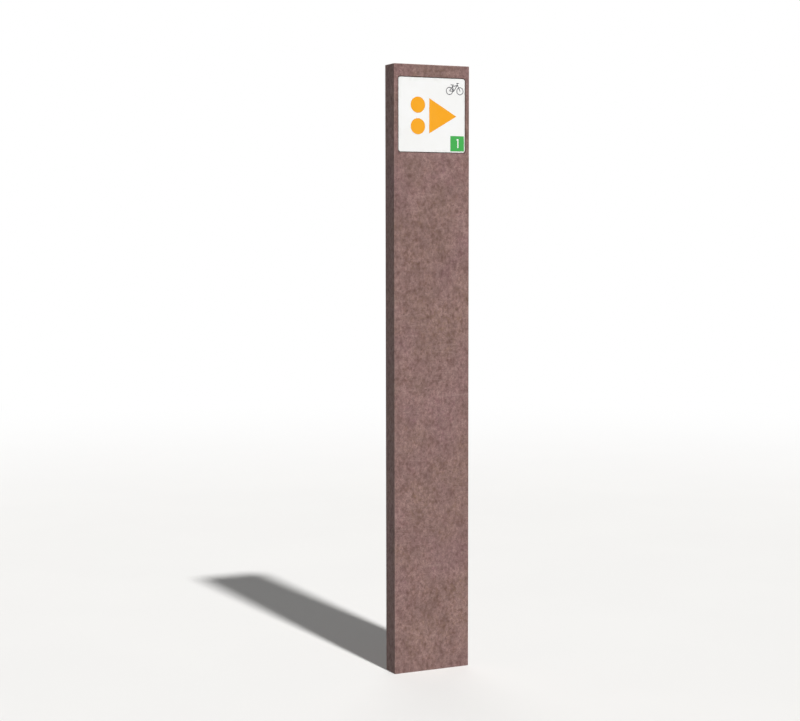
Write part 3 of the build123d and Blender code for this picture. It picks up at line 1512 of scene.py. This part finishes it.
@dataclass
class Floor:
    """Round pale floor with an opening under the foot, so that the foot's underside gets light."""

    radius: float = 14.0
    sides: int = 96
    drop: float = 0.00005
    foot_chamfer: float = 0.0005
    pale: Colour = card(232, 231, 229)
    cloud: Colour = card(224, 223, 222)
    cloud_share: float = 0.15
    bounce: Colour = card(150, 150, 150)
    roughness: float = 0.9
    gloss: float = 0.1
    fade_start: float = 1.3
    fade_end: float = 4.5

    def build(self) -> None:
        """Lay the floor just below the foot."""
        board = Block.of("post_board")
        half = board.half - Vector((self.foot_chamfer, self.foot_chamfer, 0.0))
        opening = [(x * half.x, y * half.y) for x, y in ((-1, -1), (1, -1), (1, 1), (-1, 1))]
        angles = [math.tau * side / self.sides for side in range(self.sides)]
        outline = [on_circle((0.0, 0.0), self.radius, angle) for angle in angles]
        mesh = bmesh.new()
        edges = []
        for ring in (outline, opening):
            verts = [mesh.verts.new((*point, 0.0)) for point in ring]
            edges += [mesh.edges.new(ends) for ends in zip(verts, verts[1:] + verts[:1])]
        bmesh.ops.triangle_fill(mesh, edges=edges, use_beauty=True, normal=(0.0, 0.0, 1.0))
        floor = piece("studio_floor", mesh, self.material(board))
        if floor.data.polygons[0].normal.z < 0:
            floor.data.flip_normals()
        floor.location.z = -self.drop

    def material(self, board: Block) -> bpy.types.Material:
        """Make a pale material that fades to white far away and can't be seen from below.

        Args:
            board: the post's box, under whose chamfered foot light passes up through the floor.

        Returns:
            The floor's material.
        """
        material = bpy.data.materials.new("studio_floor")
        material.use_nodes = True
        wiring = Wiring(material.node_tree)
        seen = wiring.looked_at()
        place = wiring.located()
        cloud = wiring.ease(wiring.noise(place, size=0.35, seed=71.0), start=0.3, end=0.7)
        pale = wiring.blend(wiring.calc("MULTIPLY", cloud, self.cloud_share), self.pale, self.cloud)
        look = {"Roughness": self.roughness, "Specular IOR Level": self.gloss}
        look["Base Color"] = wiring.blend(seen, self.bounce, pale)
        shader = wiring.add("ShaderNodeBsdfPrincipled", look)
        distance = wiring.calc_vector("LENGTH", place, result="Value")
        far = wiring.calc("MULTIPLY", wiring.ease(distance, self.fade_start, self.fade_end), seen)
        white = wiring.add("ShaderNodeEmission", {"Strength": 1.0})
        faded = wiring.add("ShaderNodeMixShader", {0: far, 1: shader.outputs[0], 2: white.outputs[0]})
        clear = wiring.add("ShaderNodeBsdfTransparent")
        x, y, _ = wiring.parts(wiring.calc_vector("ABSOLUTE", place))
        within_x = wiring.calc("LESS_THAN", x, board.half.x)
        within_y = wiring.calc("LESS_THAN", y, board.half.y)
        footprint = wiring.calc("MULTIPLY", within_x, within_y)
        lets_by = wiring.calc("MULTIPLY", footprint, wiring.calc("SUBTRACT", 1.0, seen))
        below = wiring.add("ShaderNodeNewGeometry").outputs["Backfacing"]
        unseen = wiring.calc("MAXIMUM", below, lets_by)
        floor = wiring.add("ShaderNodeMixShader", {0: unseen, 1: faded.outputs[0], 2: clear.outputs[0]})
        wiring.add("ShaderNodeOutputMaterial", {"Surface": floor.outputs[0]})
        return material


@dataclass(frozen=True)
class Lamp:
    """A soft lamp: the way its light goes, its strength and how wide it is, seen from the marker."""

    name: str
    travel: tuple[float, float, float]
    strength: float
    width_deg: float
    distance: float = 2.0

    def hang(self) -> None:
        """Hang the lamp."""
        lamp = bpy.data.lights.new(self.name, "SUN")
        lamp.energy = self.strength
        lamp.angle = math.radians(self.width_deg)
        holder = bpy.data.objects.new(self.name, lamp)
        holder.rotation_euler = Vector(self.travel).to_track_quat("-Z", "Y").to_euler()
        holder.location = Vector(self.travel) * -self.distance
        bpy.context.scene.collection.objects.link(holder)


@dataclass
class Studio:
    """Pale floor, soft light and the camera."""

    image_width_px: float = 800.0
    focal_length_px: float = 1656.7
    sensor_width_mm: float = 36.0
    camera_place: tuple[float, float, float] = (-1.1895, -2.4649, 0.7247)
    camera_yaw_deg: float = -24.812
    camera_pitch_deg: float = -4.341
    camera_roll_deg: float = -0.078
    nearest_seen: float = 0.05
    farthest_seen: float = 100.0
    key: Lamp = Lamp("key_light", travel=(-0.055, 0.84, -1.0), strength=3.75, width_deg=3.0)
    fill: Lamp = Lamp("fill_light", travel=(-0.30, -0.85, -0.45), strength=0.75, width_deg=50.0)
    backdrop: Colour = (1.0, 1.0, 1.0, 1.0)
    sky_strength: float = 0.10
    under_strength: float = 0.55

    def build(self) -> None:
        """Set up the floor, the light, the sky and the camera."""
        Floor().build()
        self.key.hang()
        self.fill.hang()
        self.sky()
        self.camera()
        bpy.context.scene.view_settings.view_transform = "Standard"
        log.info("studio: floor, light, sky and camera")

    def sky(self) -> None:
        """Light the marker evenly from all round and its underside from below, before a white backdrop."""
        world = bpy.data.worlds.new("studio_sky")
        world.use_nodes = True
        wiring = Wiring(world.node_tree)
        height = wiring.parts(wiring.add("ShaderNodeTexCoord").outputs["Generated"])[2]
        below = wiring.calc("LESS_THAN", height, 0.0)
        lit = wiring.between(below, self.sky_strength, self.under_strength)
        strength = wiring.between(wiring.looked_at(), lit, 1.0)
        sky = wiring.add("ShaderNodeBackground", {"Color": self.backdrop, "Strength": strength})
        wiring.add("ShaderNodeOutputWorld", {"Surface": sky.outputs[0]})
        bpy.context.scene.world = world

    def camera(self) -> None:
        """Set the camera where the photograph was taken from."""
        lens = bpy.data.cameras.new("camera")
        lens.sensor_fit = "HORIZONTAL"
        lens.sensor_width = self.sensor_width_mm
        lens.lens = self.focal_length_px * self.sensor_width_mm / self.image_width_px
        lens.clip_start = self.nearest_seen
        lens.clip_end = self.farthest_seen
        camera = bpy.data.objects.new("camera", lens)
        turn = Matrix.Rotation(math.radians(self.camera_yaw_deg), 4, "Z")
        tilt = Matrix.Rotation(math.radians(90.0 + self.camera_pitch_deg), 4, "X")
        roll = Matrix.Rotation(math.radians(self.camera_roll_deg), 4, "Z")
        camera.matrix_world = Matrix.Translation(self.camera_place) @ turn @ tilt @ roll
        bpy.context.scene.collection.objects.link(camera)
        bpy.context.scene.camera = camera


def main() -> None:
    """Dress the marker, piece by piece, and set up the studio."""
    logging.basicConfig(level=logging.INFO, format="%(message)s")
    Post().build()
    Sign().build()
    Bond().build()
    FootInserts().build()
    Studio().build()


if __name__ == "__main__":
    main()
